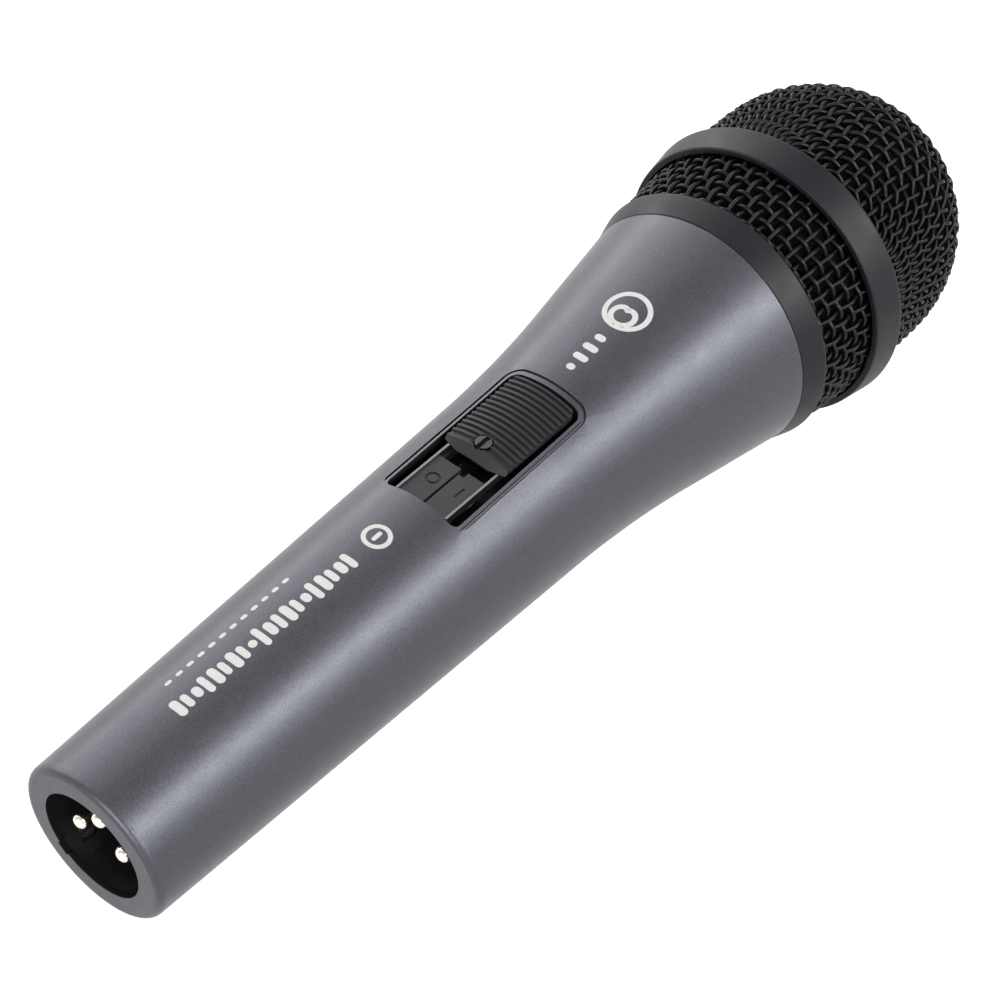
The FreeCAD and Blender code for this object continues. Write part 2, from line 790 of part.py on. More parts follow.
def build_head_mount():
    """Threaded ring in the handle's head, and the rubber ring that carries the capsule."""
    corners = [
        ("ring_seat", "ring_radius - 1.5"),
        ("ring_seat", "ring_radius"),
        ("handle_front", "ring_radius"),
        ("handle_front", "thread_radius - 0.5"),
    ]
    for turn in range(THREAD_TURNS):
        start = f"handle_front + 0.5 + {turn}"
        corners += [
            (start, "thread_radius - 0.5"),
            (f"{start} + 0.25", "thread_radius"),
            (f"{start} + 0.5", "thread_radius"),
            (f"{start} + 0.75", "thread_radius - 0.5"),
        ]
    corners += [
        ("handle_front + 4.5", "thread_radius - 0.5"),
        ("handle_front + 4.5", "ring_radius - 1.5"),
    ]
    keep(lathe("head_ring_body", corners), "head_ring")
    mount = lathe(
        "shock_body",
        [
            ("119.5", "ring_radius - 1.5"),
            ("128.5", "ring_radius - 1.5"),
            ("128.5", "ring_radius - 2.5"),
            ("housing_back", "ring_radius - 2.5", "0.4"),
            ("housing_back", "housing_radius + 0.4", "0.4"),
            ("127.6", "housing_radius + 0.4"),
            ("127.6", "housing_radius - 0.9"),
            ("119.5", "housing_radius - 0.9"),
        ],
    )
    keep(mount, "shock_mount")


def build_capsule_body():
    """Housing, magnet system, hum coil, felt and the terminal board behind them."""
    housing = lathe(
        "housing_body",
        [
            ("housing_back", "2.5"),
            ("housing_back", "housing_radius - 0.9", "0.4"),
            ("124.4", "housing_radius - 0.9"),
            ("127.6", "housing_radius - 0.9"),
            ("127.6", "housing_radius"),
            ("129.5", "housing_radius"),
            ("129.5", "housing_radius - 1.1"),
            ("133.5", "housing_radius - 1.1"),
            ("133.5", "housing_radius"),
            ("housing_front", "housing_radius"),
            ("housing_front", "rim_radius"),
            ("surround_seat", "rim_radius"),
            ("surround_seat", "housing_bore"),
            ("housing_back + 2.5", "housing_bore"),
            ("housing_back + 2.5", "2.5"),
        ],
    )
    ports = [
        rod(f"rear_port_{n}", ("120", "125"), "0.9", f"7 * cos({n * 60})", f"7 * sin({n * 60})")
        for n in range(6)
    ]
    keep(cut("housing_cut", housing, ports), "capsule_housing")
    felt = lathe(
        "felt_body",
        [
            ("housing_back + 2.5", "2.5"),
            ("housing_back + 2.5", "housing_bore"),
            ("housing_back + 5", "housing_bore"),
            ("housing_back + 5", "2.5"),
        ],
    )
    keep(felt, "damping_felt")
    yoke = lathe(
        "yoke_body",
        [
            ("127", "0"),
            ("127", "housing_bore"),
            ("138.4", "housing_bore"),
            ("138.4", "9.1"),
            ("129", "9.1"),
            ("129", "0"),
        ],
    )
    keep(yoke, "magnet_yoke")
    magnet = lathe("magnet_body", [("129", "0"), ("129", "7.2"), ("136.4", "7.2"), ("136.4", "0")])
    keep(magnet, "ring_magnet")
    pole = lathe("pole_body", [("136.4", "0"), ("136.4", "7.9"), ("138.4", "7.9"), ("138.4", "0")])
    keep(pole, "pole_piece")
    winding = lathe(
        "hum_coil_body",
        [
            ("129.5", "housing_radius - 1.1"),
            ("129.5", "housing_radius - 0.1"),
            ("133.5", "housing_radius - 0.1"),
            ("133.5", "housing_radius - 1.1"),
        ],
    )
    keep(winding, "hum_coil")
    board = lathe(
        "terminal_body",
        [("120.4", "0"), ("120.4", "6"), ("housing_back", "6"), ("housing_back", "0")],
    )
    keep(board, "terminal_board")


def build_diaphragm():
    """Moving foil dome with its coil, the corrugated surround and the ring that clamps it."""
    coil = lathe(
        "coil_body",
        [
            ("coil_front - 5.4", "coil_inner"),
            ("coil_front - 5.4", "coil_outer"),
            ("coil_front", "coil_outer"),
            ("coil_front", "coil_inner"),
        ],
    )
    keep(coil, "voice_coil")
    dome = lathe(
        "diaphragm_body",
        [
            ("coil_front", "coil_outer"),
            ("coil_front + foil", "coil_outer"),
            ("coil_front + 3.2", "3.6", "9"),
            ("coil_front + 3.2", "0"),
            ("coil_front + 3.2 - foil", "0"),
            ("coil_front + 3.2 - foil", "3.6 - foil", "9"),
            ("coil_front", "coil_outer - 0.4"),
        ],
    )
    keep(dome, "diaphragm")
    top = []
    under = []
    for place, rise in (("9.6", "0.5"), ("10.3", "0"), ("11", "0.5"), ("11.5", "0")):
        top.append((f"surround_seat + foil + {rise}", place))
        under.append((f"surround_seat + {rise}", place))
    surround = lathe(
        "surround_body",
        [("surround_seat + foil", "coil_outer + 0.05")]
        + top
        + [("surround_seat + foil", "rim_radius"), ("surround_seat", "rim_radius")]
        + under[::-1]
        + [("surround_seat", "coil_outer + 0.05")],
    )
    keep(surround, "diaphragm_surround")
    clamp = lathe(
        "clamp_body",
        [
            ("surround_seat + foil", "11.6"),
            ("surround_seat + foil", "rim_radius"),
            ("surround_seat + foil + 2", "rim_radius"),
            ("surround_seat + foil + 2", "11.6"),
        ],
    )
    keep(clamp, "diaphragm_clamp")


def build_cover():
    """Slotted front cover of the capsule, and the acoustic cloth behind its slots."""
    cap = doc.addObject("PartDesign::Body", "cover_body")
    profile = new_sketch(cap, "XY_Plane")
    outline(
        profile,
        [
            ("surround_seat + 1", "housing_radius"),
            ("surround_seat + 1", "cover_radius"),
            ("cover_front", "cover_radius", "0.8"),
            ("cover_front", "2"),
            ("cover_front - 1.4", "2"),
            ("cover_front - 1.4", "rim_radius"),
            ("housing_front", "rim_radius"),
            ("housing_front", "housing_radius"),
        ],
    )
    turn = cap.newObject("PartDesign::Revolution", "cover_turn")
    turn.Profile = profile
    turn.ReferenceAxis = (profile, ["H_Axis"])
    turn.Angle = 360
    doc.recompute()
    solid_volume = cap.Shape.Volume
    slot = cap.newObject("Sketcher::SketchObject", "cover_slot")
    plane = [f for f in cap.Origin.OriginFeatures if f.Role == "YZ_Plane"][0]
    slot.AttachmentSupport = [(plane, "")]
    slot.MapMode = "FlatFace"
    bind(slot, "AttachmentOffset.Base.z", "cover_front + 1")
    outline(
        slot,
        [("4", "-0.8", "0.7"), ("11", "-1.3", "1.2"), ("11", "1.3", "1.2"), ("4", "0.8", "0.7")],
    )
    pocket = cap.newObject("PartDesign::Pocket", "cover_pocket")
    pocket.Profile = slot
    bind(pocket, "Length", "3")
    doc.recompute()
    if cap.Shape.Volume > solid_volume - 10:
        raise RuntimeError("the cover's slot cuts nothing")
    pattern = cap.newObject("PartDesign::PolarPattern", "cover_pattern")
    pattern.Originals = [pocket]
    pattern.Axis = (slot, ["N_Axis"])
    pattern.Angle = 360
    pattern.Occurrences = COVER_SLOTS
    cap.Tip = pattern
    keep(cap, "capsule_cover")
    cloth = lathe(
        "cloth_body",
        [
            ("cover_front - 1.65", "0"),
            ("cover_front - 1.65", "rim_radius"),
            ("cover_front - 1.4", "rim_radius"),
            ("cover_front - 1.4", "0"),
        ],
    )
    keep(cloth, "acoustic_cloth")


# --- wiring --------------------------------------------------------------------------------


def wire_solid(route, radius):
    """A round wire along straight runs joined by tangent arcs."""
    points = [FreeCAD.Vector(*(value(number) for number in point)) for point in route]
    edges = []
    start = points[0]
    for before, corner, after in zip(points, points[1:], points[2:]):
        back = before - corner
        ahead = after - corner
        turn = math.pi - back.getAngle(ahead)
        reach = 0.45 * min(back.Length, ahead.Length)
        first = corner + back.normalize() * reach
        last = corner + ahead.normalize() * reach
        bend = reach / math.tan(turn / 2)
        inward = (first + last) * 0.5 - corner
        sagitta = math.hypot(reach, bend) - bend
        middle = corner + inward.normalize() * sagitta
        edges.append(Part.LineSegment(start, first).toShape())
        edges.append(Part.Arc(first, middle, last).toShape())
        start = last
    edges.append(Part.LineSegment(start, points[-1]).toShape())
    path = Part.Wire(edges)
    tangent = points[1] - points[0]
    section = Part.Wire([Part.makeCircle(radius, points[0], tangent)])
    return path.makePipeShell([section], True, False)


def build_wiring():
    """Leads from the capsule to the board and from the board to the three pins."""
    capsule_routes = []
    for side in ("-3", "3"):
        capsule_routes.append(
            [("120.4", side, "0"), ("114", side, "0"), ("104", side, "8"), ("96", side, "8")]
        )
    plug_routes = []
    for (y_place, z_place), landing in zip(PIN_PLACES.values(), ("4", "-4", "0")):
        plug_routes.append(
            [
                ("pin_back - 2.5", y_place, z_place),
                ("36", y_place, z_place),
                ("49", landing, "8"),
                ("56.8", landing, "8"),
            ]
        )
    for label, routes in (("capsule_leads", capsule_routes), ("socket_leads", plug_routes)):
        leads = doc.addObject("Part::Feature", label + "_wires")
        leads.Shape = Part.makeCompound([wire_solid(route, 0.5) for route in routes])
        keep(leads, label)


# --- build, check, write -------------------------------------------------------------------

build_handle_shell()
build_socket()
build_slider()
build_carriage()
build_floor()
build_switch_bay()
build_basket()
build_head_mount()
build_capsule_body()
build_diaphragm()
build_cover()
build_wiring()
doc.recompute()

for item in doc.Objects:
    if "Invalid" in item.State or "Error" in item.State:
        raise RuntimeError(f"{item.Name} failed: {item.State}")
for label, item in nodes:
    if item.Shape.isNull() or not item.Shape.isValid() or not item.Shape.Solids:
        raise RuntimeError(f"{label} has no valid solid")
for label, item in nodes:
    item.Shape.exportStep(f"parts/{label}.step")
    bounds = item.Shape.BoundBox
    print(
        f"{label}: {len(item.Shape.Solids)} solids, {item.Shape.Volume:.1f} mm3, "
        f"x {bounds.XMin:.2f} to {bounds.XMax:.2f}"
    )
print(len(nodes), "nodes")
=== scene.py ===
import json
import math

import bpy
from mathutils import Matrix, Vector, noise
from mathutils.bvhtree import BVHTree


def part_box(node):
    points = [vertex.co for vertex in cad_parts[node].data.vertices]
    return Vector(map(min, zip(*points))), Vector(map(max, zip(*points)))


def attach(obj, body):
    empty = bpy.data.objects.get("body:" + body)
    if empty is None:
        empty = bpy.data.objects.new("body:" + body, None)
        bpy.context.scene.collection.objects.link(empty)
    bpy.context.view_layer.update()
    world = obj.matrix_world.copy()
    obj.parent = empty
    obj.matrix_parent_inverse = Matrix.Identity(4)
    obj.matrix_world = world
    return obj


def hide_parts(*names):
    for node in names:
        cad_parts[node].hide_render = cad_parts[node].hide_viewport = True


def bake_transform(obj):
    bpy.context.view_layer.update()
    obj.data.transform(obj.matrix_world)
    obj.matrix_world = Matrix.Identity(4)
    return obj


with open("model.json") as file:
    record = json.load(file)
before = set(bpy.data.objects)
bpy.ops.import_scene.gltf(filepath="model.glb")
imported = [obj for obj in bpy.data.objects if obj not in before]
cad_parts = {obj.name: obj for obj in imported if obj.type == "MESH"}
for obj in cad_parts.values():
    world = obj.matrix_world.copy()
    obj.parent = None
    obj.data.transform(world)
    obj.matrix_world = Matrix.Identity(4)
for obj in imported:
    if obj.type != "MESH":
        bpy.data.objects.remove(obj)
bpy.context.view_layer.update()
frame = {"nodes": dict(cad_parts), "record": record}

# Handheld dynamic microphone: looks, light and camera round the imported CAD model.
# Metres, in the CAD frame: +X runs from the plug socket to the dome, +Z out through the switch.

MM = 0.001
NODES = frame["nodes"]


# --- node-tree helpers ---------------------------------------------------------------------

WAVE_SCALE = 0.314  # a wave texture of this scale has one stripe to a unit of length
MIX_COLOURS, MIX_RESULT = (6, 7), 2  # a mix node's two colour inputs and its colour output
BEVEL_SAMPLES = 4
WEAR_GAIN = 3.0


class Recipe:
    """A Principled material whose inputs are driven by procedural nodes in object space."""

    def __init__(self, name):
        self.material = bpy.data.materials.new(name)
        self.material.use_nodes = True
        self.tree = self.material.node_tree
        self.shader = self.tree.nodes["Principled BSDF"]
        self.place = self.add("ShaderNodeTexCoord").outputs["Object"]

    def add(self, kind, **settings):
        """A new node, with some of its settings changed."""
        node = self.tree.nodes.new(kind)
        for key, value in settings.items():
            setattr(node, key, value)
        return node

    def feed(self, socket, value):
        """Link another node's output to an input, or give the input a plain value."""
        if isinstance(value, bpy.types.NodeSocket):
            self.tree.links.new(value, socket)
        else:
            socket.default_value = value

    def set(self, **values):
        """Set Principled inputs by name, with underscores for spaces."""
        for key, value in values.items():
            self.feed(self.shader.inputs[key.replace("_", " ")], value)

    def stretched(self, scale):
        """Object coordinates scaled differently along each axis."""
        mapping = self.add("ShaderNodeMapping")
        self.feed(mapping.inputs["Vector"], self.place)
        self.feed(mapping.inputs["Scale"], scale)
        return mapping.outputs["Vector"]

    def noise(self, size_mm, detail=2.0, place=None):
        """Noise whose features are about size_mm across."""
        node = self.add("ShaderNodeTexNoise")
        self.feed(node.inputs["Vector"], place or self.place)
        self.feed(node.inputs["Scale"], 1.0 / (size_mm * MM))
        self.feed(node.inputs["Detail"], detail)
        return node.outputs["Fac"]

    def cells(self, size_mm):
        """Distance from the middles of round cells about size_mm across."""
        node = self.add("ShaderNodeTexVoronoi", feature="F1")
        self.feed(node.inputs["Vector"], self.place)
        self.feed(node.inputs["Scale"], 1.0 / (size_mm * MM))
        return node.outputs["Distance"]

    def bands(self, direction, pitch_mm, distortion=0.0):
        """Stripes across one axis, pitch_mm apart."""
        node = self.add("ShaderNodeTexWave", wave_type="BANDS", bands_direction=direction)
        self.feed(node.inputs["Vector"], self.place)
        self.feed(node.inputs["Scale"], WAVE_SCALE / (pitch_mm * MM))
        self.feed(node.inputs["Distortion"], distortion)
        return node.outputs["Fac"]

    def spread(self, factor, low, high, start=0.3, end=0.7):
        """Map a factor to the range low to high."""
        node = self.add("ShaderNodeMapRange")
        for key, value in (
            ("Value", factor),
            ("From Min", start),
            ("From Max", end),
            ("To Min", low),
            ("To Max", high),
        ):
            self.feed(node.inputs[key], value)
        return node.outputs["Result"]

    def math(self, operation, first, second=0.0):
        """A sum, product or comparison of two values."""
        node = self.add("ShaderNodeMath", operation=operation)
        self.feed(node.inputs[0], first)
        self.feed(node.inputs[1], second)
        return node.outputs[0]

    def blend(self, factor, first, second):
        """A colour between two others."""
        node = self.add("ShaderNodeMix", data_type="RGBA")
        self.feed(node.inputs["Factor"], factor)
        for index, value in zip(MIX_COLOURS, (first, second)):
            plain = not isinstance(value, bpy.types.NodeSocket)
            self.feed(node.inputs[index], (*value, 1.0) if plain else value)
        return node.outputs[MIX_RESULT]

    def bump(self, height, depth_mm, strength=1.0):
        """Fine relief from a height between 0 and 1."""
        node = self.add("ShaderNodeBump")
        self.feed(node.inputs["Height"], height)
        self.feed(node.inputs["Distance"], depth_mm * MM)
        self.feed(node.inputs["Strength"], strength)
        self.feed(self.shader.inputs["Normal"], node.outputs["Normal"])

    def between(self, amount, low, high):
        """1 where low < amount < high, else 0."""
        above = self.math("GREATER_THAN", amount, low)
        return self.math("MULTIPLY", above, self.math("LESS_THAN", amount, high))

    def wear(self, amount_mm):
        """0 on flat stretches, up to 1 on sharp outer edges."""
        bevel = self.add("ShaderNodeBevel", samples=BEVEL_SAMPLES)
        self.feed(bevel.inputs["Radius"], amount_mm * MM)
        geometry = self.add("ShaderNodeNewGeometry")
        product = self.add("ShaderNodeVectorMath", operation="DOT_PRODUCT")
        self.feed(product.inputs[0], bevel.outputs["Normal"])
        self.feed(product.inputs[1], geometry.outputs["Normal"])
        sharp = self.math("SUBTRACT", 1.0, product.outputs["Value"])
        return self.math("MINIMUM", self.math("MULTIPLY", sharp, WEAR_GAIN), 1.0)


def shade(colour, amount):
    """A colour made lighter (above 1) or darker."""
    return tuple(min(1.0, part * amount) for part in colour)


# --- materials -----------------------------------------------------------------------------

PAINT_COLOUR = (0.046, 0.047, 0.055)
PAINT_METALLIC = 0.72
PAINT_ROUGHNESS = 0.395
PAINT_GLOSS = 0.45
# Near-black painted shade for the handle's hollows: its mouth, the mouth's notch, the recess walls.
HOLLOW_SHADE_BLACK = (0.006, 0.006, 0.0065)

# The handle's shape where its lacquer gives way to painted shade, in millimetres: the grip is a
# cone, the recess is the switch's, and the notch is cut in the mouth's wall.
GRIP_RADIUS = 11.8
GRIP_SLOPE = 0.0328
SHADE_DEPTH = 0.3
RECESS_ENDS = (60.8, 88.1)
RECESS_SIDE = 6.3
RECESS_LOWEST = 5.0
MOUTH_RADIUS = 8.1
NOTCH_RADIUS = 8.9
NOTCH_ENDS = (0.1, 3.0)


def hollow_shade(r):
    """1 where painted shade blackens the handle: its mouth, the mouth's notch, the switch recess
    walls.
    """
    axes = r.add("ShaderNodeSeparateXYZ")
    r.feed(axes.inputs[0], r.place)
    x, y, z = (r.math("DIVIDE", axes.outputs[k], MM) for k in range(3))
    radius = r.math("SQRT", r.math("ADD", r.math("MULTIPLY", y, y), r.math("MULTIPLY", z, z)))
    skin = r.math("ADD", r.math("MULTIPLY", x, GRIP_SLOPE), GRIP_RADIUS - SHADE_DEPTH)
    deep = r.math("LESS_THAN", radius, skin)
    recess = r.math("MULTIPLY", deep, r.between(x, *RECESS_ENDS))
    recess = r.math("MULTIPLY", recess, r.between(y, -RECESS_SIDE, RECESS_SIDE))
    recess = r.math("MULTIPLY", recess, r.math("GREATER_THAN", z, RECESS_LOWEST))
    near_axis = r.math("LESS_THAN", radius, NOTCH_RADIUS)
    notch = r.math("MULTIPLY", near_axis, r.between(x, *NOTCH_ENDS))
    mouth = r.math("MAXIMUM", r.math("LESS_THAN", radius, MOUTH_RADIUS), notch)
    return r.math("MAXIMUM", mouth, recess)


def handle_paint():
    """Satin blue-grey metallic lacquer with fine flake; painted black shade inside mouth and
    recess.
    """
    base = PAINT_COLOUR
    r = Recipe("handle_paint")
    flake = r.spread(r.cells(0.16), 0.0, 1.0, 0.15, 0.75)
    cloud = r.spread(r.noise(3.0, 3.0), 0.0, 1.0)
    colour = r.blend(flake, shade(base, 1.3), shade(base, 0.8))
    colour = r.blend(r.math("MULTIPLY", cloud, 0.12), colour, shade(base, 1.12))
    colour = r.blend(r.math("MULTIPLY", r.wear(0.25), 0.3), colour, shade(base, 2.2))
    # painted shade: the hollows turn near-black, with no metal and no gloss
    shaded = hollow_shade(r)
    colour = r.blend(shaded, colour, HOLLOW_SHADE_BLACK)
    painted = r.math("SUBTRACT", 1.0, shaded)
    r.set(Base_Color=colour, Metallic=r.math("MULTIPLY", painted, PAINT_METALLIC))
    r.set(Roughness=r.spread(cloud, PAINT_ROUGHNESS - 0.02, PAINT_ROUGHNESS + 0.03, 0.0, 1.0))
    r.set(Specular_IOR_Level=r.math("MULTIPLY", painted, PAINT_GLOSS))
    r.bump(r.math("ADD", r.noise(0.5, 3.0), r.math("MULTIPLY", flake, 0.2)), 0.012, 0.6)
    return r.material


def coated_metal(name, base, rough, metallic, gloss):
    """Powder or lacquer coat on metal, a little rubbed along its edges."""
    r = Recipe(name)
    fine = r.noise(0.25, 3.0)
    broad = r.spread(r.noise(4.0, 2.0), 0.0, 1.0)
    colour = r.blend(r.spread(fine, 0.0, 1.0), shade(base, 0.82), shade(base, 1.2))
    colour = r.blend(r.math("MULTIPLY", r.wear(0.2), 0.5), colour, shade(base, 2.6))
    r.set(Base_Color=colour, Metallic=metallic, Specular_IOR_Level=gloss)
    r.set(Roughness=r.spread(broad, rough - 0.04, rough + 0.05, 0.0, 1.0))
    r.bump(fine, 0.01, 0.7)
    return r.material


def moulded_plastic(name, base, rough, gloss):
    """Moulded plastic with a fine spark-eroded grain and polished edges."""
    r = Recipe(name)
    fine = r.noise(0.12, 4.0)
    broad = r.spread(r.noise(2.5, 2.0), 0.0, 1.0)
    edge = r.wear(0.12)
    colour = r.blend(r.spread(fine, 0.0, 1.0), shade(base, 0.85), shade(base, 1.18))
    colour = r.blend(r.math("MULTIPLY", edge, 0.4), colour, shade(base, 2.0))
    r.set(Base_Color=colour, Roughness=r.spread(broad, rough - 0.05, rough + 0.05, 0.0, 1.0))
    r.set(Specular_IOR_Level=gloss)
    r.bump(fine, 0.012, 0.8)
    return r.material


TURNING = (40.0, 1.0, 1.0)  # how much finer the scratches are along each axis


def brushed_metal(name, base, rough):
    """Turned or brushed uncoated metal, with its scratches drawn out round the axis."""
    r = Recipe(name)
    lines = r.noise(0.6, 4.0, r.stretched(TURNING))
    stain = r.spread(r.noise(2.0, 3.0), 0.0, 1.0)
    colour = r.blend(r.math("MULTIPLY", stain, 0.5), base, shade(base, 0.8))
    r.set(Base_Color=colour, Metallic=1.0, Roughness=r.spread(lines, rough - 0.08, rough + 0.1))
    r.bump(lines, 0.004, 0.5)
    return r.material


def winding(name, base, turn_mm):
    """Enamelled copper wire wound round the axis in fine turns."""
    r = Recipe(name)
    height = r.bands("X", turn_mm, distortion=0.3)
    r.set(Base_Color=r.blend(height, shade(base, 0.35), base), Metallic=0.9, Roughness=0.32)
    r.bump(height, 0.05)
    return r.material


def woven_cloth():
    """Fine acoustic silk."""
    r = Recipe("woven_cloth")
    product = r.math("MULTIPLY", r.bands("Y", 0.35), r.bands("Z", 0.35))
    r.set(Base_Color=r.blend(product, (0.02, 0.02, 0.021), (0.16, 0.16, 0.165)), Roughness=0.8)
    r.set(Sheen_Weight=0.3)
    r.bump(product, 0.04)
    return r.material


def soft_fibre():
    """Pressed grey felt."""
    r = Recipe("pressed_felt")
    fibres = r.noise(0.3, 6.0)
    r.set(Base_Color=r.blend(fibres, (0.18, 0.175, 0.165), (0.42, 0.41, 0.39)), Roughness=0.95)
    r.set(Sheen_Weight=0.5)
    r.bump(fibres, 0.15)
    return r.material


def open_foam():
    """Black open-cell foam."""
    r = Recipe("open_foam")
    cell = r.cells(0.55)
    walls = r.spread(cell, 1.0, 0.0, 0.25, 0.6)
    colour = r.blend(walls, (0.0006, 0.0006, 0.0007), (0.003, 0.003, 0.0033))
    r.set(Base_Color=colour, Roughness=0.95, Specular_IOR_Level=0.05)
    r.bump(walls, 0.25)
    return r.material


def soft_rubber():
    """Matt black rubber with a faint bloom."""
    r = Recipe("soft_rubber")
    fine = r.noise(0.2, 3.0)
    bloom = r.spread(r.noise(2.0, 3.0), 0.0, 1.0)
    r.set(Base_Color=r.blend(bloom, (0.014, 0.014, 0.014), (0.035, 0.034, 0.033)), Roughness=0.72)
    r.bump(fine, 0.02)
    return r.material


def shaded_circuit_laminate():
    """Green solder mask over glass cloth, darker over copper lanes; near-black as painted shade."""
    r = Recipe("shaded_circuit_laminate")
    step = r.spread(r.bands("Y", 2.2), 0.0, 1.0, 0.55, 0.6)
    cloth = r.noise(0.3, 2.0)
    # painted shade: both greens are taken nearly to black, deep in the switch
    colour = r.blend(step, (0.0012, 0.004, 0.0028), (0.0025, 0.008, 0.005))
    r.set(Base_Color=colour, Roughness=r.spread(cloth, 0.22, 0.34), Coat_Weight=0.4)
    r.bump(step, 0.03, 0.6)
    return r.material


def clear_film():
    """Thin diaphragm film, amber-clear, with a faint ripple."""
    r = Recipe("clear_film")
    ripple = r.noise(1.2, 2.0)
    r.set(Base_Color=r.blend(ripple, (0.75, 0.66, 0.48), (0.9, 0.86, 0.76)), Roughness=0.16)
    r.set(Alpha=0.55, Coat_Weight=0.6)
    r.bump(ripple, 0.03, 0.5)
    return r.material


def printed_ink():
    """Pale screen-printed ink, slightly uneven."""
    r = Recipe("printed_ink")
    mottle = r.noise(0.25, 4.0)
    r.set(Base_Color=r.blend(mottle, (0.22, 0.22, 0.215), (0.3, 0.3, 0.293)), Roughness=0.5)
    r.bump(mottle, 0.004)
    return r.material


def wire_jacket():
    """Red insulation, a little uneven."""
    r = Recipe("wire_jacket")
    smear = r.noise(1.0, 3.0)
    r.set(Base_Color=r.blend(smear, (0.24, 0.015, 0.012), (0.42, 0.03, 0.025)), Roughness=0.4)
    r.bump(smear, 0.01, 0.5)
    return r.material


def painted_wire():
    """Steel wire under thin satin black paint."""
    r = Recipe("painted_wire")
    fine = r.noise(0.15, 3.0)
    broad = r.spread(r.noise(5.0, 2.0), 0.0, 1.0)
    colour = r.blend(r.spread(fine, 0.0, 1.0), (0.0014, 0.0014, 0.0019), (0.003, 0.003, 0.0038))
    r.set(Base_Color=colour, Roughness=r.spread(broad, 0.34, 0.42, 0.0, 1.0))
    r.set(Specular_IOR_Level=0.15)
    r.bump(fine, 0.012, 0.6)
    return r.material


# What each material slot of the record looks like.
SLOT_MATERIALS = {
    "handle_paint": handle_paint(),
    "ring_grey": coated_metal("ring_grey", (0.0028, 0.0028, 0.0045), 0.47, 0.0, 0.19),
    "mesh_black": painted_wire(),
    "slider_plastic": moulded_plastic("slider_plastic", (0.0065, 0.0065, 0.0072), 0.5, 0.25),
    "floor_plastic": moulded_plastic("floor_plastic", (0.009, 0.009, 0.0105), 0.5, 0.27),
    "socket_plastic": moulded_plastic("socket_plastic", (0.0035, 0.0035, 0.004), 0.5, 0.2),
    "capsule_plastic": moulded_plastic("capsule_plastic", (0.022, 0.022, 0.022), 0.55, 0.5),
    "pin_metal": brushed_metal("pin_metal", (0.8, 0.73, 0.65), 0.17),
    "dark_steel": brushed_metal("dark_steel", (0.14, 0.14, 0.145), 0.36),
    "bright_steel": brushed_metal("bright_steel", (0.55, 0.55, 0.56), 0.3),
    "magnet_nickel": brushed_metal("magnet_nickel", (0.66, 0.64, 0.6), 0.18),
    "copper": winding("copper_winding", (0.72, 0.3, 0.12), 0.16),
    "board_laminate": shaded_circuit_laminate(),
    "foil": clear_film(),
    "cloth": woven_cloth(),
    "felt": soft_fibre(),
    "foam": open_foam(),
    "rubber": soft_rubber(),
    "wire_insulation": wire_jacket(),
}


# CAD nodes that look different from the rest of their slot.
NODE_MATERIALS = {
    "lock_screw": brushed_metal("blackened_steel", (0.055, 0.055, 0.058), 0.4),
    # painted shade: the tray is near-black so the slots beside the rails read as deep shade
    "switch_tray": moulded_plastic("tray_plastic_in_shade", (0.0025, 0.0025, 0.0028), 0.6, 0.12),
    # painted shade: the contact pads are darkened nearly to black, deep in the switch
    "contact_pads": brushed_metal("shaded_contact", (0.04, 0.034, 0.026), 0.55),
    "contact_bridge": brushed_metal("spring_contact", (0.09, 0.08, 0.066), 0.45),
}


def dress_cad_nodes():
    """Give every CAD node its own material or its slot's."""
    for part in frame["record"]["subparts"]:
        mesh = NODES[part["node"]].data
        mesh.materials.clear()
        own = NODE_MATERIALS.get(part["node"], SLOT_MATERIALS[part["material_slot"]])
        mesh.materials.append(own)


def new_piece(name, vertices, faces, material, body, smooth=True):
    """A mesh object that rides on a CAD body."""
    mesh = bpy.data.meshes.new(name)
    mesh.from_pydata([tuple(v) for v in vertices], [], faces)
    mesh.polygons.foreach_set("use_smooth", [smooth] * len(mesh.polygons))
    mesh.materials.append(material)
    piece = bpy.data.objects.new(name, mesh)
    bpy.context.scene.collection.objects.link(piece)
    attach(piece, body)
    return piece


# --- woven grille --------------------------------------------------------------------------

WIRE_RADIUS = 0.31 * MM
CRIMP = 0.3 * MM
WIRE_SIDES = 8
STEPS_PER_CELL = 8
LEAST_KNOTS = 3  # crossings that a wire needs to be worth drawing


def tube(path, vertices, faces, closed=False):
    """Add a round wire along (point, surface normal) pairs."""
    first = len(vertices)
    count = len(path)
    for i, (point, normal) in enumerate(path):
        ahead = path[(i + 1) % count][0] if closed or i < count - 1 else point
        behind = path[i - 1][0] if closed or i > 0 else point
        tangent = (ahead - behind).normalized()
        side = tangent.cross(normal).normalized()
        out = side.cross(tangent)
        for k in range(WIRE_SIDES):
            turn = 2 * math.pi * k / WIRE_SIDES
            vertices.append(
                point + side * (math.cos(turn) * WIRE_RADIUS) + out * (math.sin(turn) * WIRE_RADIUS)
            )
    rings = count if closed else count - 1
    for i in range(rings):
        here = first + i * WIRE_SIDES
        there = first + ((i + 1) % count) * WIRE_SIDES
        for k in range(WIRE_SIDES):
            after = (k + 1) % WIRE_SIDES
            faces.append((here + k, here + after, there + after, there + k))
    if not closed:
        last = first + (count - 1) * WIRE_SIDES
        faces.append(tuple(first + k for k in reversed(range(WIRE_SIDES))))
        faces.append(tuple(last + k for k in range(WIRE_SIDES)))


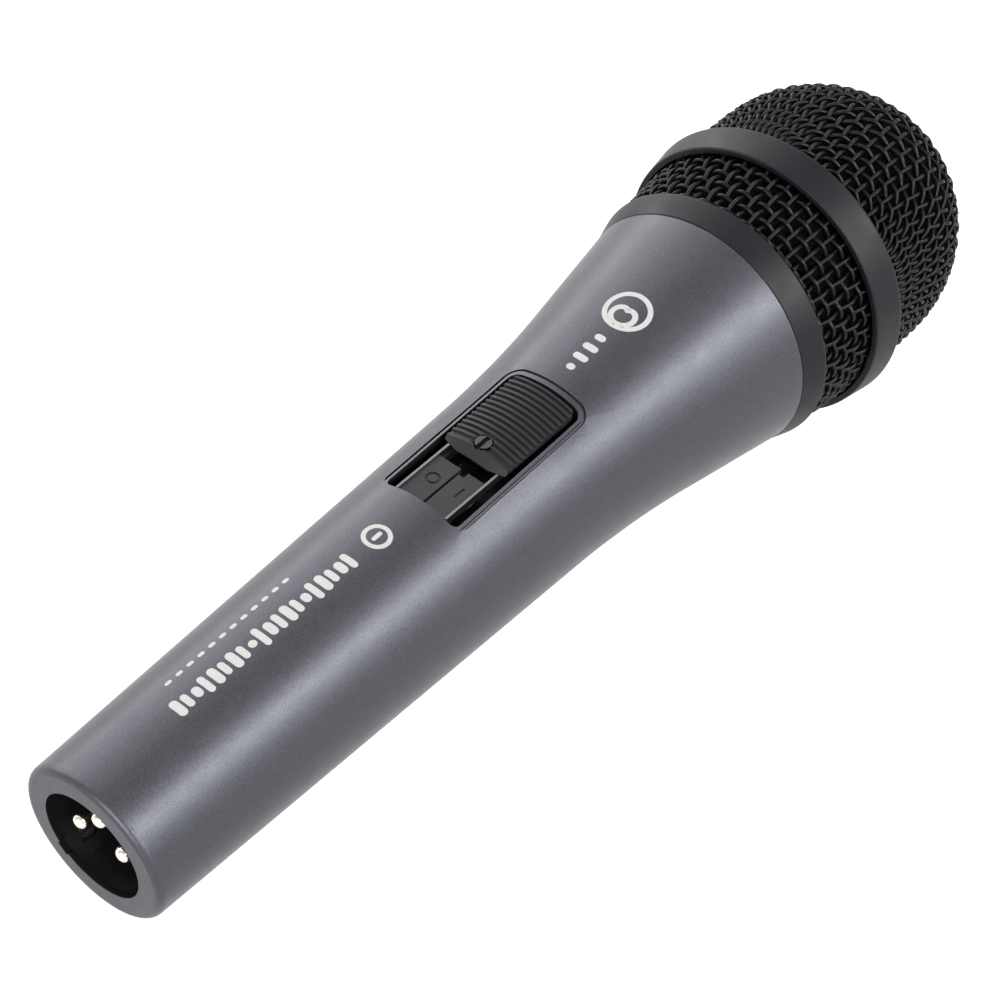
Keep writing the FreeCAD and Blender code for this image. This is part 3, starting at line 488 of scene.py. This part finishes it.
def crimped(knots, normal_at, sign, closed=False):
    """A smooth line through the weave's crossings that rises and dips at each one in turn."""
    count = len(knots)
    path = []
    cells = count if closed else count - 1
    for i in range(cells):
        p1, p2 = knots[i], knots[(i + 1) % count]
        p0 = knots[i - 1] if closed or i > 0 else p1 * 2 - p2
        p3 = knots[(i + 2) % count] if closed or i < cells - 1 else p2 * 2 - p1
        for step in range(STEPS_PER_CELL):
            t = step / STEPS_PER_CELL
            middle = (
                p1 * 2
                + (p2 - p0) * t
                + (p0 * 2 - p1 * 5 + p2 * 4 - p3) * t * t
                + (p1 * 3 - p0 - p2 * 3 + p3) * t * t * t
            ) / 2
            normal = normal_at(middle)
            path.append((middle + normal * (sign * CRIMP * math.cos(math.pi * (i + t))), normal))
    if not closed:
        normal = normal_at(knots[-1])
        path.append((knots[-1] + normal * (sign * CRIMP * math.cos(math.pi * cells)), normal))
    return path


def stretches(items, keep, least):
    """The unbroken stretches of items that pass a test, if they have at least so many."""
    run = []
    for item in items:
        if keep(item):
            run.append(item)
            continue
        if len(run) >= least:
            yield run
        run = []
    if len(run) >= least:
        yield run


DOME_SKIN = 0.45 * MM  # from the middle of the woven sheet to the CAD mesh's outer face
DOME_CUT = 0.3 * MM  # from the CAD mesh's back edge to the wires' cut ends
NEWTON_STEPS = 12
LEAST_DETERMINANT = 0.02  # below this a cell is too flat to solve


class DomeSurface:
    """Middle of the dome mesh: a cylinder that runs into a half sphere."""

    def __init__(self):
        low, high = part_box("dome_mesh")
        self.back = low[0]
        self.tip = high[0] - DOME_SKIN
        self.radius = high[2] - DOME_SKIN
        self.centre = Vector((self.tip - self.radius, 0, 0))

    def normal(self, point):
        """The outward direction at a point."""
        if point.x >= self.centre.x:
            return (point - self.centre).normalized()
        return Vector((0, point.y, point.z)).normalized()

    def height(self, point):
        """Distance above the surface."""
        if point.x >= self.centre.x:
            return (point - self.centre).length - self.radius
        return math.hypot(point.y, point.z) - self.radius

    def arc_to(self, point):
        """Arc length from the tip."""
        if point.x < self.centre.x:
            return self.radius * math.pi / 2 + self.centre.x - point.x
        return self.radius * math.acos(min(1.0, (point.x - self.centre.x) / self.radius))

    def settle(self, point):
        """The nearest place on the surface."""
        return point - self.normal(point) * self.height(point)

    def along(self, arc, heading):
        """The point that lies an arc length from the tip, straight down at a heading."""
        quarter = self.radius * math.pi / 2
        if arc <= quarter:
            angle = arc / self.radius
            forward = self.centre.x + self.radius * math.cos(angle)
            return Vector((forward, 0, 0)) + heading * (self.radius * math.sin(angle))
        return Vector((self.centre.x - (arc - quarter), 0, 0)) + heading * self.radius

    def next_crossing(self, a, b, corner, cell):
        """The fourth corner of a cell with equal sides, on the surface, opposite to corner."""
        point = self.settle(a + b - corner)
        for _ in range(NEWTON_STEPS):
            rows = [
                (self.normal(point), -self.height(point)),
                ((point - a).normalized(), cell - (point - a).length),
                ((point - b).normalized(), cell - (point - b).length),
            ]
            system = Matrix([row for row, _ in rows])
            if abs(system.determinant()) < LEAST_DETERMINANT:
                return None
            point = point + system.inverted() @ Vector([want for _, want in rows])
        return self.settle(point)


DOME_CELL = 2.0 * MM
CROWN_STRETCH = 0.65 * MM
CROWN_REACH = 37 * MM
DOME_TURN = math.radians(23.8)  # how far the weave is turned round the axis


def dome_cell(arc):
    """Side of a cell: the sheet is drawn out towards the crown when the dome is pressed."""
    return DOME_CELL + CROWN_STRETCH * max(0.0, 1 - (arc / CROWN_REACH) ** 2)


def dome_crossings(surface):
    """A net drawn over the dome, the sides of each cell equal, as woven wire drapes."""
    ahead = Vector((0, -math.sin(DOME_TURN), math.cos(DOME_TURN)))
    aside = Vector((0, math.cos(DOME_TURN), math.sin(DOME_TURN)))
    places = [0.0]
    while places[-1] < surface.radius * math.pi / 2 + surface.centre.x - surface.back:
        places.append(places[-1] + dome_cell(places[-1] + DOME_CELL / 2))
    reach = len(places) - 1
    net = {}
    for step in range(-reach, reach + 1):
        sign = 1 if step >= 0 else -1
        net[step, 0] = surface.along(places[abs(step)], ahead * sign)
        net[0, step] = surface.along(places[abs(step)], aside * sign)
    for si in (1, -1):
        for sj in (1, -1):
            for i in range(1, reach + 1):
                for j in range(1, reach + 1):
                    a = net.get((si * (i - 1), sj * j))
                    b = net.get((si * i, sj * (j - 1)))
                    corner = net.get((si * (i - 1), sj * (j - 1)))
                    if a is None or b is None or corner is None:
                        continue
                    cell = dome_cell(surface.arc_to(surface.settle(a + b - corner)) - DOME_CELL / 2)
                    point = surface.next_crossing(a, b, corner, cell)
                    if point is not None and point.x > surface.back - 2 * DOME_CELL:
                        net[si * i, sj * j] = point
    return net, reach


def build_dome_mesh():
    """Two families of crimped wires in place of the plain dome."""
    surface = DomeSurface()
    net, reach = dome_crossings(surface)
    edge = surface.back + DOME_CUT
    span = range(-reach, reach + 1)
    for name, flip in (("dome_warp", False), ("dome_weft", True)):
        vertices, faces = [], []
        for row in span:
            line = [(k, net.get((k, row) if flip else (row, k))) for k in span]
            for knots in stretches(line, lambda knot: knot[1] is not None, LEAST_KNOTS):
                sign = 1 if (knots[0][0] + row + flip) % 2 == 0 else -1
                path = crimped([point for _, point in knots], surface.normal, sign)
                for run in stretches(path, lambda step: step[0].x > edge, STEPS_PER_CELL + 1):
                    tube(run, vertices, faces)
        piece = new_piece(name, vertices, faces, SLOT_MATERIALS["mesh_black"], "basket")
        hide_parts("dome_mesh")


LOWER_STAVES = 68
LOWER_HOOP_GAP = 2.3 * MM
LOWER_SKIN = 0.5 * MM  # from the middle of the woven sheet to the CAD mesh's outer face
LOWER_FLARE = 1.25 * MM  # how much wider it is at the band than at the collar
LOWER_MARGIN = 1.1 * MM  # from the band to the nearest hoop
LOWER_CUT = 0.05 * MM  # from the CAD mesh's edges to the staves' cut ends
STAVE_PHASE = 0.35  # how far the first stave is turned on, as a share of the gap between two


def build_lower_mesh():
    """Staves along the cone and hoops round it, woven over and under."""
    low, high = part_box("lower_mesh")
    back, front = low[0], high[0]
    wide = high[2] - LOWER_SKIN
    slope = LOWER_FLARE / (front - back)

    def radius_at(x):
        return wide - slope * (front - x)

    def normal_at(point):
        return Vector((-slope * math.hypot(point.y, point.z), point.y, point.z)).normalized()

    hoops = int((front - back) / LOWER_HOOP_GAP) + 1
    first = front - (hoops - 1) * LOWER_HOOP_GAP - LOWER_MARGIN

    def crossing(stave, hoop):
        turn = 2 * math.pi * (stave + STAVE_PHASE) / LOWER_STAVES + DOME_TURN
        x = first + hoop * LOWER_HOOP_GAP
        radius = radius_at(x)
        return Vector((x, -radius * math.sin(turn), radius * math.cos(turn)))

    vertices, faces = [], []
    for stave in range(LOWER_STAVES):
        knots = [crossing(stave, hoop) for hoop in range(-1, hoops + 1)]
        path = crimped(knots, normal_at, 1 if stave % 2 else -1)
        inside = [(p, n) for p, n in path if back + LOWER_CUT < p.x < front - LOWER_CUT]
        tube(inside, vertices, faces)
    staves = new_piece("lower_staves", vertices, faces, SLOT_MATERIALS["mesh_black"], "basket")
    vertices, faces = [], []
    for hoop in range(hoops):
        knots = [crossing(stave, hoop) for stave in range(LOWER_STAVES)]
        tube(crimped(knots, normal_at, 1 if hoop % 2 else -1, True), vertices, faces, True)
    rings = new_piece("lower_hoops", vertices, faces, SLOT_MATERIALS["mesh_black"], "basket")
    for piece in (staves, rings):
        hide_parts("lower_mesh")


# --- foam ----------------------------------------------------------------------------------

FOAM_TURNS = 180
FOAM_STEPS = 90
FOAM_STRAIGHT = 0.45  # share of the steps that lie behind the half sphere
FOAM_FLARE = 0.3  # share of that stretch over which the foam widens
FLOOR_STEPS = 30
BORE_STEPS = 40
COLLAR_ROOM = 2.4 * MM  # from the lower mesh's outer face to the foam
BORE_ROOM = 1.8 * MM  # round the capsule
FLOOR_ROOM = 4.0 * MM  # in front of the capsule
LEAST_RADIUS = 0.02 * MM
SKIN_INSET = 0.6  # millimetres inside the CAD solid at the back
SKIN_RISE = 0.85  # millimetres less than that at the front, where the foam meets the dome
RISE_RATE = 2.5
PORE_DEPTH = 0.5
PORE_SIZE, PORE_SHARE = 0.9 * MM, 0.12
SWELL_SIZE, SWELL_SHARE = 4 * MM, 0.1


def foam_section():
    """Half a section of the foam as (x, radius), and where its half sphere begins."""
    low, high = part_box("foam_windscreen")
    wide, tip, back = high[2], high[0], low[0]
    dome_start = tip - wide
    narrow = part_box("lower_mesh")[1][2] - COLLAR_ROOM
    capsule_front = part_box("capsule_cover")[1]
    bore = capsule_front[2] + BORE_ROOM
    floor_x = capsule_front[0] + FLOOR_ROOM
    outside = []
    for step in range(FOAM_STEPS):
        t = step / (FOAM_STEPS - 1)
        if t < FOAM_STRAIGHT:
            x = back + (dome_start - back) * t / FOAM_STRAIGHT
            rise = min(1.0, (x - back) / (FOAM_FLARE * (dome_start - back)))
            outside.append((x, narrow + (wide - narrow) * rise))
        else:
            angle = (t - FOAM_STRAIGHT) / (1 - FOAM_STRAIGHT) * math.pi / 2
            outside.append((dome_start + wide * math.sin(angle), wide * math.cos(angle)))
    inside = [(floor_x, bore * (1 - step / FLOOR_STEPS)) for step in range(FLOOR_STEPS, 0, -1)]
    for step in range(BORE_STEPS + 1):
        inside.append((floor_x + (back - floor_x) * step / BORE_STEPS, bore))
    return [(x, max(r, LEAST_RADIUS)) for x, r in outside + inside], dome_start


def build_foam():
    """Open-cell foam lining, from its CAD solid's own section, with a soft uneven skin."""
    section, dome_start = foam_section()
    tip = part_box("foam_windscreen")[1][0]
    band_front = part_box("basket_band")[1][0]
    vertices, faces = [], []
    count = len(section)
    for x, r in section:
        for k in range(FOAM_TURNS):
            turn = 2 * math.pi * k / FOAM_TURNS
            point = Vector((x, r * math.cos(turn), r * math.sin(turn)))
            pore = noise.noise(point / PORE_SIZE) * PORE_SHARE
            pore += noise.noise(point / SWELL_SIZE) * SWELL_SHARE
            inward = Vector((x - dome_start, point.y, point.z)).normalized()
            forward = min(1.0, max(0.0, RISE_RATE * (x - band_front) / (tip - band_front)))
            inset = SKIN_INSET - SKIN_RISE * forward + PORE_DEPTH * abs(pore)
            vertices.append(point - inward * inset * MM)
    for i in range(count):
        here, there = i * FOAM_TURNS, ((i + 1) % count) * FOAM_TURNS
        for k in range(FOAM_TURNS):
            after = (k + 1) % FOAM_TURNS
            faces.append((here + k, there + k, there + after, here + after))
    piece = new_piece("foam_lining", vertices, faces, SLOT_MATERIALS["foam"], "basket")
    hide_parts("foam_windscreen")


# --- soft parts, copied from their CAD nodes -------------------------------------------------


def build_stretching(name, node):
    """A copy of a soft node's own shape, in place of the hidden node."""
    mesh = NODES[node].data.copy()
    mesh.name = name
    piece = bpy.data.objects.new(name, mesh)
    bpy.context.scene.collection.objects.link(piece)
    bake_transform(piece)
    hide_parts(node)


# --- printed marks -------------------------------------------------------------------------

INK_HEIGHT = 0.02 * MM
INK_ROWS = 4
BAR_STEPS = 12
SWITCH_PLACE = 60.0  # marks nearer the tail than this lie on the grip, the rest on the flare
GRIP_TURN_RADIUS = 0.013  # radii that turn a height across the handle into an angle round it
FLARE_TURN_RADIUS = 0.0165
OUTSIDE = 0.05  # farther from the axis than any of the handle's skin

# The marks' layout in millimetres: places along the handle, half heights across it, and the
# half widths of the pen that draws them.
LEVEL_START, LEVEL_PITCH, LEVEL_PAIR = 15.9, 3.28, 1.55
LEVEL_HEIGHTS = (1.5, 0.9, 1.5, 1.5, 0.6, 1.2, 1.5, 0.8, 1.5, 1.1)
PARTNER_HEIGHT, PARTNER_SHARE = 2.1, 0.6
TICK_START, TICK_PITCH, TICK_LENGTH, TICK_ACROSS = 17.6, 1.95, 1.1, 4.35
TICK_COUNT = 12
RING_PLACE, RING_RADIUS, RING_BAR = 52.4, 1.75, 0.9
BADGE_PLACE, BADGE_RADIUS, BADGE_HEART = 105.6, 3.2, 1.35
HEART_START = 0.03
RING_STEPS, BADGE_STEPS = 40, 60
COUNT_START, COUNT_PITCH = 92.9, 2.2
COUNT_HEIGHTS = (0.7, 1.3, 1.3, 0.9)
LEVEL_PEN, PARTNER_PEN, COUNT_PEN = 0.62, 0.5, 0.55
RING_PEN, HEART_PEN, BADGE_PEN, FINE_PEN = 0.32, 0.42, 0.38, 0.3
LEAST_PEN = 0.01


def handle_tree():
    """The handle's mesh, for finding its surface."""
    mesh = NODES["handle_shell"].data
    points = [v.co.copy() for v in mesh.vertices]
    return BVHTree.FromPolygons(points, [tuple(p.vertices) for p in mesh.polygons])


def ribbon(centre_line, widths, closed=False):
    """A flat strip round a line of (along, across) places, as rows of four points."""
    rows = []
    count = len(centre_line)
    for i, (x, a) in enumerate(centre_line):
        after = centre_line[(i + 1) % count if closed else min(i + 1, count - 1)]
        before = centre_line[i - 1 if closed or i > 0 else 0]
        dx, da = after[0] - before[0], after[1] - before[1]
        length = math.hypot(dx, da) or 1.0
        side = (-da / length, dx / length)
        half = widths[i]
        row = []
        for k in range(INK_ROWS):
            offset = half * (2 * k / (INK_ROWS - 1) - 1)
            row.append((x + side[0] * offset, a + side[1] * offset))
        rows.append(row)
    return rows, closed


def rounded(place_at, half_length, half_width):
    """A bar with round ends; place_at gives the place that lies so far from its middle."""
    line, widths = [], []
    for k in range(BAR_STEPS + 1):
        t = -math.cos(math.pi * k / BAR_STEPS)
        line.append(place_at(t * half_length))
        reach = (1 - abs(t)) * half_length
        round_off = max(0.0, 1 - reach / half_width)
        widths.append(half_width * math.sqrt(max(0.0, 1 - round_off * round_off)) + LEAST_PEN)
    return ribbon(line, widths)


def level(x_place, across, half_length, half_width):
    """A bar along the handle."""
    return rounded(lambda far: (x_place + far, across), half_length, half_width)


def upright(x_place, half_length, half_width):
    """A bar across the handle."""
    return rounded(lambda far: (x_place, far), half_length, half_width)


def loop(x_place, radius_at, half, steps):
    """A closed curve round a place, drawn with a pen of a half width."""
    line = []
    for k in range(steps):
        turn = 2 * math.pi * k / steps
        radius = radius_at(turn)
        line.append((x_place + radius * math.cos(turn), radius * math.sin(turn)))
    return ribbon(line, [half] * steps, True)


def heart(turn):
    """Radius of a microphone's heart-shaped pickup pattern."""
    return BADGE_HEART * (1 - math.cos(turn)) + HEART_START


def mark_strips():
    """Generic marks in place of lettering: a level-meter row, a pickup-pattern badge, dashes."""
    strips = []
    for k, height in enumerate(LEVEL_HEIGHTS):
        place = LEVEL_START + LEVEL_PITCH * k
        partner = PARTNER_HEIGHT - PARTNER_SHARE * height
        strips.append(upright(place, height, LEVEL_PEN))
        strips.append(upright(place + LEVEL_PAIR, partner, PARTNER_PEN))
    strips.append(loop(RING_PLACE, lambda turn: RING_RADIUS, RING_PEN, RING_STEPS))
    strips.append(level(RING_PLACE, 0.0, RING_BAR, FINE_PEN))
    for k in range(TICK_COUNT):
        middle = TICK_START + TICK_PITCH * k + TICK_LENGTH / 2
        strips.append(level(middle, TICK_ACROSS, TICK_LENGTH / 2, FINE_PEN))
    strips.append(loop(BADGE_PLACE, heart, HEART_PEN, BADGE_STEPS))
    strips.append(loop(BADGE_PLACE, lambda turn: BADGE_RADIUS, BADGE_PEN, BADGE_STEPS))
    for k, height in enumerate(COUNT_HEIGHTS):
        strips.append(upright(COUNT_START + COUNT_PITCH * k, height, COUNT_PEN))
    return strips


def ink_points(row, tree):
    """A row's places laid just above the handle's skin, then just below it."""
    points = []
    for side in (1.0, -1.0):
        for x, across in row:
            turn = across * MM / (GRIP_TURN_RADIUS if x < SWITCH_PLACE else FLARE_TURN_RADIUS)
            outward = Vector((0, math.sin(turn), math.cos(turn)))
            start = Vector((x * MM, 0, 0)) + outward * OUTSIDE
            hit = tree.ray_cast(start, -outward)[0]
            points.append(hit + outward * (INK_HEIGHT * side))
    return points


def ink_faces(first, count, closed):
    """The closed skin of one strip: top, underside, edges, and ends unless it is a loop."""
    faces = []
    width = 2 * INK_ROWS
    edge = INK_ROWS - 1
    for i in range(count if closed else count - 1):
        here, there = first + i * width, first + ((i + 1) % count) * width
        for k in range(edge):
            top = (here + k, here + k + 1, there + k + 1, there + k)
            faces.append(top)
            faces.append(tuple(index + INK_ROWS for index in reversed(top)))
        faces.append((here, there, there + INK_ROWS, here + INK_ROWS))
        far_here, far_there = here + edge, there + edge
        faces.append((far_here + INK_ROWS, far_there + INK_ROWS, far_there, far_here))
    if not closed:
        last = first + (count - 1) * width
        for k in range(edge):
            start = (first + k, first + k + INK_ROWS, first + k + 1 + INK_ROWS, first + k + 1)
            end = (last + k, last + k + 1, last + k + 1 + INK_ROWS, last + k + INK_ROWS)
            faces += [start, end]
    return faces


def build_marks():
    """Print the marks on the handle as thin strips of ink that follow its skin."""
    tree = handle_tree()
    vertices, faces = [], []
    for rows, closed in mark_strips():
        first = len(vertices)
        for row in rows:
            vertices += ink_points(row, tree)
        faces += ink_faces(first, len(rows), closed)
    piece = new_piece("printed_marks", vertices, faces, printed_ink(), "handle", smooth=False)


# --- floor, light and camera ---------------------------------------------------------------

FLOOR_GLOW = 0.8
FLOOR_GREY = 0.25
FLOOR_REACH = 6.0
FLOOR_GAP = 0.2 * MM

SURROUND = 0.76
BOX_REACH = 0.7  # from the point that a soft box faces to the box
STRIP_AIM = (0.25, 0, 0)
STRIP_SIZE = (1.2, 0.2)
STRIPS = (  # name, degrees up from the side that +Y points to, watts
    ("rim_strip", 15.0, 4.8),
    ("near_strip", 40.0, 3.5),
    ("upper_strip", 65.0, 1.5),
    ("key_strip", 139.6, 11.8),
    ("far_strip", 162.0, 1.4),
)
TAIL_BOX = (-0.935, -0.168, 0.307)
TAIL_SIZE = (0.5, 0.14)
TAIL_POWER = 4.5

CAMERA_PLACE = (-0.10408, -0.13613, 0.24683)
CAMERA_AZIMUTH = -53.318
CAMERA_ELEVATION = 47.372
CAMERA_ROLL = 4.039
CAMERA_LENS = 86.04
CAMERA_SENSOR = 36.0


def build_floor():
    """White glowing sheet under the microphone, tilted so that tail rim and band just clear it."""
    band_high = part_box("basket_band")[1]
    tail = GRIP_RADIUS * MM
    tilt = math.asin((band_high[2] - tail) / band_high[0])
    size = FLOOR_REACH
    mesh = bpy.data.meshes.new("floor")
    corners = [(-size, -size, 0), (size, -size, 0), (size, size, 0), (-size, size, 0)]
    mesh.from_pydata(corners, [], [(0, 1, 2, 3)])
    floor = bpy.data.objects.new("floor", mesh)
    floor.rotation_euler = (0, tilt, 0)
    floor.location = (0, 0, -tail - FLOOR_GAP)
    bpy.context.scene.collection.objects.link(floor)
    r = Recipe("pale_floor")
    r.set(Base_Color=(FLOOR_GREY, FLOOR_GREY, FLOOR_GREY, 1), Roughness=0.9)
    r.set(Specular_IOR_Level=0.1, Emission_Color=(1, 1, 1, 1), Emission_Strength=FLOOR_GLOW)
    mesh.materials.append(r.material)


def soft_box(name, aim, outward, along, size, power):
    """A rectangular light that stands off a point in one direction and faces it."""
    lamp = bpy.data.lights.new(name, "AREA")
    lamp.shape = "RECTANGLE"
    lamp.size, lamp.size_y = size
    lamp.energy = power
    item = bpy.data.objects.new(name, lamp)
    outward = outward.normalized()
    across = outward.cross(along).normalized()
    facing = Matrix((across.cross(outward), across, outward)).transposed().to_4x4()
    item.matrix_world = Matrix.Translation(aim + outward * BOX_REACH) @ facing
    item.visible_camera = False
    bpy.context.scene.collection.objects.link(item)


def build_camera():
    """A short telephoto above the tail, on the side where the switch shows."""
    azimuth, elevation = math.radians(CAMERA_AZIMUTH), math.radians(CAMERA_ELEVATION)
    back = Vector(
        (
            math.sin(azimuth) * math.cos(elevation),
            -math.cos(azimuth) * math.cos(elevation),
            math.sin(elevation),
        )
    )
    level = (-back).to_track_quat("-Z", "Y").to_matrix().to_4x4()
    roll = Matrix.Rotation(math.radians(CAMERA_ROLL), 4, "Z")
    lens = bpy.data.cameras.new("camera")
    lens.lens = CAMERA_LENS
    lens.sensor_width = CAMERA_SENSOR
    lens.clip_start = 0.01
    camera = bpy.data.objects.new("camera", lens)
    camera.matrix_world = Matrix.Translation(CAMERA_PLACE) @ level @ roll
    bpy.context.scene.collection.objects.link(camera)
    bpy.context.scene.camera = camera


def build_light():
    """Long soft boxes beside the microphone, one beyond its tail, and a pale surround."""
    for name, turn, power in STRIPS:
        outward = Vector((0, math.cos(math.radians(turn)), math.sin(math.radians(turn))))
        soft_box(name, Vector(STRIP_AIM), outward, Vector((1, 0, 0)), STRIP_SIZE, power)
    origin = Vector((0, 0, 0))
    soft_box("tail_box", origin, Vector(TAIL_BOX), Vector((0, 1, 0)), TAIL_SIZE, TAIL_POWER)
    world = bpy.data.worlds.new("surround")
    world.use_nodes = True
    background = world.node_tree.nodes["Background"]
    background.inputs["Color"].default_value = (1.0, 1.0, 1.0, 1.0)
    background.inputs["Strength"].default_value = SURROUND
    bpy.context.scene.world = world
    bpy.context.scene.view_settings.view_transform = "Standard"


dress_cad_nodes()
build_camera()
build_dome_mesh()
build_lower_mesh()
build_foam()
build_stretching("rubber_ring", "shock_mount")
build_stretching("lead_pair", "capsule_leads")
build_marks()
build_floor()
build_light()
